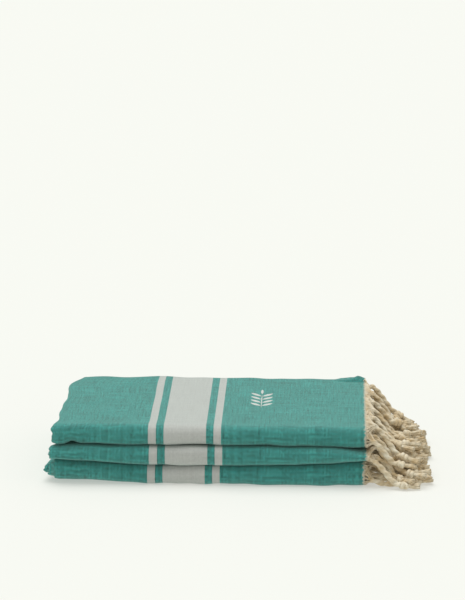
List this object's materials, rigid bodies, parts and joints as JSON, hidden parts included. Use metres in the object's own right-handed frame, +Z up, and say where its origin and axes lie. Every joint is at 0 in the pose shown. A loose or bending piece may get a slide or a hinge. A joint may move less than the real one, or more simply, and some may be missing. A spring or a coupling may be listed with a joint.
{
  "type": "bath towel set",
  "caption": "Stack of identical flat-woven cotton bath towels, each folded to a thin pad, with their knotted two-ply fringes drooping from one end.",
  "frame": {"origin": "middle of the flat underside of the bottom towel, where the stack rests, halfway along its straight folded run and halfway between its front and back folds", "axes": "+X along the towels towards the fringed ends, +Y towards the open back edges, away from the rounded front folds, +Z up through the stack"},
  "size_m": [0.5557, 0.2694, 0.0875],
  "materials": {
    "striped_cotton": "plain weave, teal with an off-white stripe band",
    "ecru_cotton_yarn": "undyed twisted cotton",
    "embroidery_thread": "raised stitches"
  },
  "bodies": {
    "bottom_towel": {"bottom_towel_cloth": "striped_cotton", "bottom_towel_embroidery": "embroidery_thread", "bottom_towel_end_a_heading": "ecru_cotton_yarn", "bottom_towel_end_b_heading": "ecru_cotton_yarn", "bottom_towel_end_a_tassels_1": "ecru_cotton_yarn", "bottom_towel_end_a_tassels_2": "ecru_cotton_yarn", "bottom_towel_end_a_tassels_3": "ecru_cotton_yarn", "bottom_towel_end_a_tassels_4": "ecru_cotton_yarn", "bottom_towel_end_b_tassels_1": "ecru_cotton_yarn", "bottom_towel_end_b_tassels_2": "ecru_cotton_yarn", "bottom_towel_end_b_tassels_3": "ecru_cotton_yarn", "bottom_towel_end_b_tassels_4": "ecru_cotton_yarn"},
    "middle_towel": {"middle_towel_cloth": "striped_cotton", "middle_towel_embroidery": "embroidery_thread", "middle_towel_end_a_heading": "ecru_cotton_yarn", "middle_towel_end_b_heading": "ecru_cotton_yarn", "middle_towel_end_a_tassels_1": "ecru_cotton_yarn", "middle_towel_end_a_tassels_2": "ecru_cotton_yarn", "middle_towel_end_a_tassels_3": "ecru_cotton_yarn", "middle_towel_end_a_tassels_4": "ecru_cotton_yarn", "middle_towel_end_b_tassels_1": "ecru_cotton_yarn", "middle_towel_end_b_tassels_2": "ecru_cotton_yarn", "middle_towel_end_b_tassels_3": "ecru_cotton_yarn", "middle_towel_end_b_tassels_4": "ecru_cotton_yarn"},
    "top_towel": {"top_towel_cloth": "striped_cotton", "top_towel_embroidery": "embroidery_thread", "top_towel_end_a_heading": "ecru_cotton_yarn", "top_towel_end_b_heading": "ecru_cotton_yarn", "top_towel_end_a_tassels_1": "ecru_cotton_yarn", "top_towel_end_a_tassels_2": "ecru_cotton_yarn", "top_towel_end_a_tassels_3": "ecru_cotton_yarn", "top_towel_end_a_tassels_4": "ecru_cotton_yarn", "top_towel_end_b_tassels_1": "ecru_cotton_yarn", "top_towel_end_b_tassels_2": "ecru_cotton_yarn", "top_towel_end_b_tassels_3": "ecru_cotton_yarn", "top_towel_end_b_tassels_4": "ecru_cotton_yarn"}
  },
  "joints": [
    {"name": "middle_towel_lift", "type": "slide", "parent": "bottom_towel", "child": "middle_towel", "axis": [0, 0, 1], "range_m": [0, 0.15]},
    {"name": "top_towel_lift", "type": "slide", "parent": "middle_towel", "child": "top_towel", "axis": [0, 0, 1], "range_m": [0, 0.15]}
  ]
}
